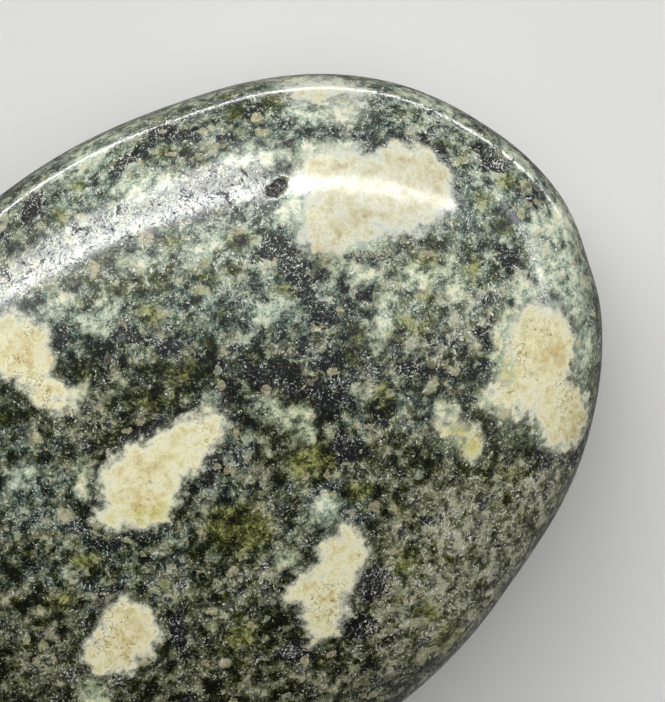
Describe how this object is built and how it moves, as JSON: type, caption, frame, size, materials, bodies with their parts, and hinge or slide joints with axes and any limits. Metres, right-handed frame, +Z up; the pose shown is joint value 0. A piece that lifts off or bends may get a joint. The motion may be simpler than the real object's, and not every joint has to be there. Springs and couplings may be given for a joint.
{
  "type": "dolerite palm stone",
  "caption": "Polished pillow-shaped stone of dark green spotted dolerite with cream feldspar clots, lying on a small flat spot.",
  "frame": {"origin": "middle of the base, in the plane that the stone rests on", "axes": "+X along the stone's long axis, +Y across it, +Z up along its short axis"},
  "size_m": [0.064, 0.046, 0.0215],
  "materials": {
    "polished_dolerite": "hand-polished dark green dolerite, mottled teal, olive and near-black, with cream to pale green feldspar clots and fine tan grains"
  },
  "bodies": {
    "root": {"palm_stone": "polished_dolerite"}
  },
  "joints": []
}
